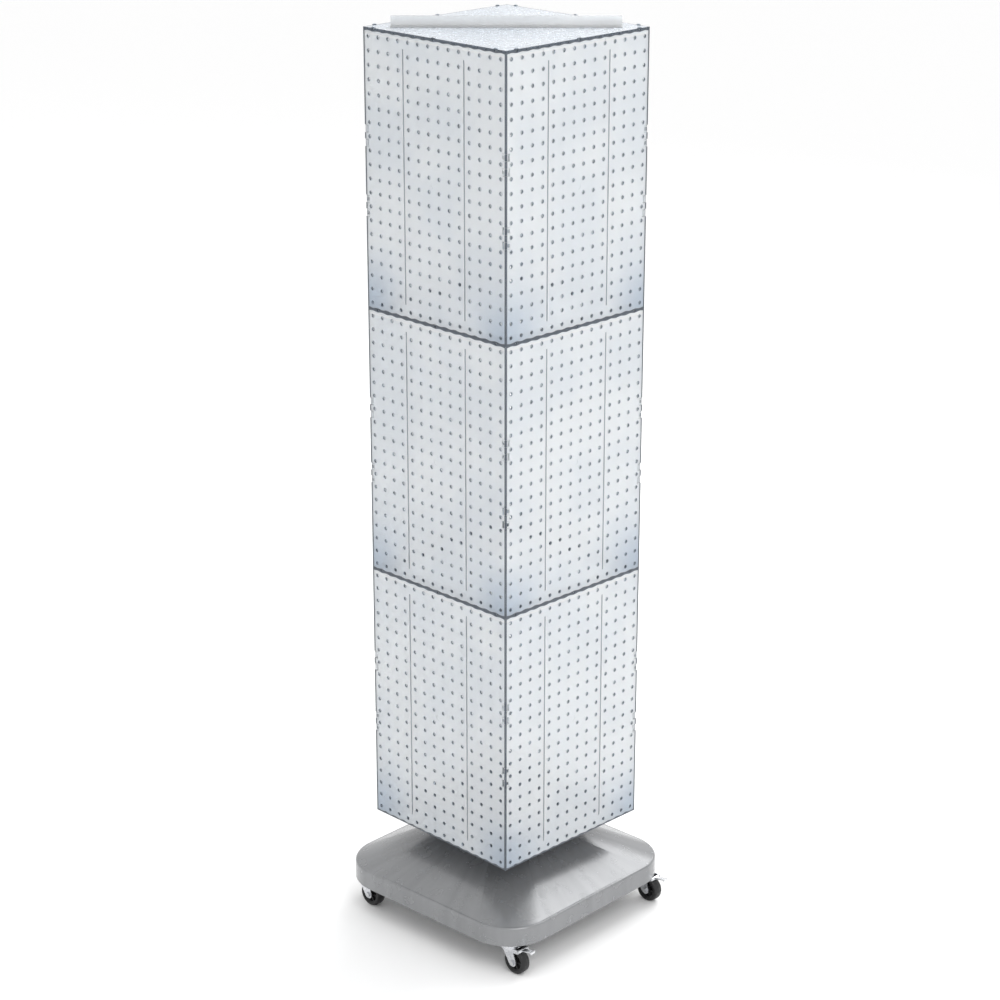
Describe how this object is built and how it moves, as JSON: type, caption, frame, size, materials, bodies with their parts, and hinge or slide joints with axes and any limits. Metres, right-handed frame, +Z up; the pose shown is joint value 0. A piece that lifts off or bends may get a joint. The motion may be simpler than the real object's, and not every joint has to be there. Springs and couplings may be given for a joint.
{
  "type": "pegboard display stand",
  "caption": "Revolving four-sided pegboard tower of stacked clear panels on a hipped plastic base with swivel casters, foot brakes and a sign channel on top.",
  "frame": {"origin": "on the floor, on the tower's turning axis, under the middle of the base", "axes": "+Z up, -Y towards the front face of the tower, +X towards its right face"},
  "size_m": [0.4979, 0.4808, 1.7414],
  "materials": {
    "clear_panel": "pebbled clear styrene, milky",
    "clear_plate": "clear blue-grey styrene",
    "clear_channel": "clear extruded plastic",
    "base_plastic": "glossy silver-grey moulding",
    "turntable_zinc": "zinc plated pressing",
    "zinc_steel": "zinc plated",
    "ball_steel": "polished",
    "cage_nylon": "natural nylon",
    "caster_steel": "bright zinc",
    "wheel_hub": "black moulded hub",
    "caster_tyre": "black rubber",
    "brake_chrome": "bright plated"
  },
  "bodies": {
    "base": {"base_shell": "base_plastic", "stem_sockets": "zinc_steel", "base_screws": "zinc_steel", "turntable_lower_plate": "turntable_zinc", "stem_front_right": "zinc_steel", "stem_back_right": "zinc_steel", "stem_back_left": "zinc_steel", "stem_front_left": "zinc_steel"},
    "ball_ring": {"ball_cage": "cage_nylon", "turntable_balls": "ball_steel"},
    "tower": {"panel_lower_front": "clear_panel", "panel_lower_right": "clear_panel", "panel_lower_back": "clear_panel", "panel_lower_left": "clear_panel", "panel_middle_front": "clear_panel", "panel_middle_right": "clear_panel", "panel_middle_back": "clear_panel", "panel_middle_left": "clear_panel", "panel_upper_front": "clear_panel", "panel_upper_right": "clear_panel", "panel_upper_back": "clear_panel", "panel_upper_left": "clear_panel", "divider_lower": "clear_panel", "divider_middle": "clear_panel", "tower_floor": "clear_panel", "top_plate": "clear_plate", "sign_holder": "clear_channel", "sign_rivets": "clear_channel", "turntable_upper_plate": "turntable_zinc", "floor_screws": "zinc_steel"},
    "caster_front_right": {"fork_front_right": "caster_steel", "axle_front_right": "zinc_steel", "brake_pin_front_right": "zinc_steel"},
    "wheel_front_right": {"wheel_hub_front_right": "wheel_hub", "tyre_front_right": "caster_tyre"},
    "pedal_front_right": {"brake_pedal_front_right": "brake_chrome"},
    "caster_back_right": {"fork_back_right": "caster_steel", "axle_back_right": "zinc_steel", "brake_pin_back_right": "zinc_steel"},
    "wheel_back_right": {"wheel_hub_back_right": "wheel_hub", "tyre_back_right": "caster_tyre"},
    "pedal_back_right": {"brake_pedal_back_right": "brake_chrome"},
    "caster_back_left": {"fork_back_left": "caster_steel", "axle_back_left": "zinc_steel"},
    "wheel_back_left": {"wheel_hub_back_left": "wheel_hub", "tyre_back_left": "caster_tyre"},
    "caster_front_left": {"fork_front_left": "caster_steel", "axle_front_left": "zinc_steel"},
    "wheel_front_left": {"wheel_hub_front_left": "wheel_hub", "tyre_front_left": "caster_tyre"}
  },
  "joints": [
    {"name": "tower_spin", "type": "hinge", "parent": "base", "child": "tower", "pos_m": [0, 0, 0.196], "axis": [0, 0, 1], "continuous": true},
    {"name": "ball_ring_spin", "type": "hinge", "parent": "base", "child": "ball_ring", "pos_m": [0, 0, 0.19], "axis": [0, 0, 1], "continuous": true},
    {"name": "swivel_front_right", "type": "hinge", "parent": "base", "child": "caster_front_right", "pos_m": [0.20027, -0.18545, 0.059], "axis": [0, 0, 1], "continuous": true},
    {"name": "roll_front_right", "type": "hinge", "parent": "caster_front_right", "child": "wheel_front_right", "pos_m": [0.21626, -0.18483, 0.025], "axis": [-0.0384, 0.9993, 0], "continuous": true},
    {"name": "brake_front_right", "type": "hinge", "parent": "caster_front_right", "child": "pedal_front_right", "pos_m": [0.22925, -0.18434, 0.051], "axis": [-0.0384, 0.9993, 0], "range_deg": [0, 20]},
    {"name": "swivel_back_right", "type": "hinge", "parent": "base", "child": "caster_back_right", "pos_m": [0.18545, 0.20027, 0.059], "axis": [0, 0, 1], "continuous": true},
    {"name": "roll_back_right", "type": "hinge", "parent": "caster_back_right", "child": "wheel_back_right", "pos_m": [0.20144, 0.20088, 0.025], "axis": [-0.0384, 0.9993, 0], "continuous": true},
    {"name": "brake_back_right", "type": "hinge", "parent": "caster_back_right", "child": "pedal_back_right", "pos_m": [0.21443, 0.20138, 0.051], "axis": [-0.0384, 0.9993, 0], "range_deg": [0, 20]},
    {"name": "swivel_back_left", "type": "hinge", "parent": "base", "child": "caster_back_left", "pos_m": [-0.20027, 0.18545, 0.059], "axis": [0, 0, 1], "continuous": true},
    {"name": "roll_back_left", "type": "hinge", "parent": "caster_back_left", "child": "wheel_back_left", "pos_m": [-0.18428, 0.18606, 0.025], "axis": [-0.0384, 0.9993, 0], "continuous": true},
    {"name": "swivel_front_left", "type": "hinge", "parent": "base", "child": "caster_front_left", "pos_m": [-0.18545, -0.20027, 0.059], "axis": [0, 0, 1], "continuous": true},
    {"name": "roll_front_left", "type": "hinge", "parent": "caster_front_left", "child": "wheel_front_left", "pos_m": [-0.16946, -0.19965, 0.025], "axis": [-0.0384, 0.9993, 0], "continuous": true}
  ],
  "couplings": [
    {"joint": "ball_ring_spin", "follows": "tower_spin", "ratio": 0.5}
  ]
}
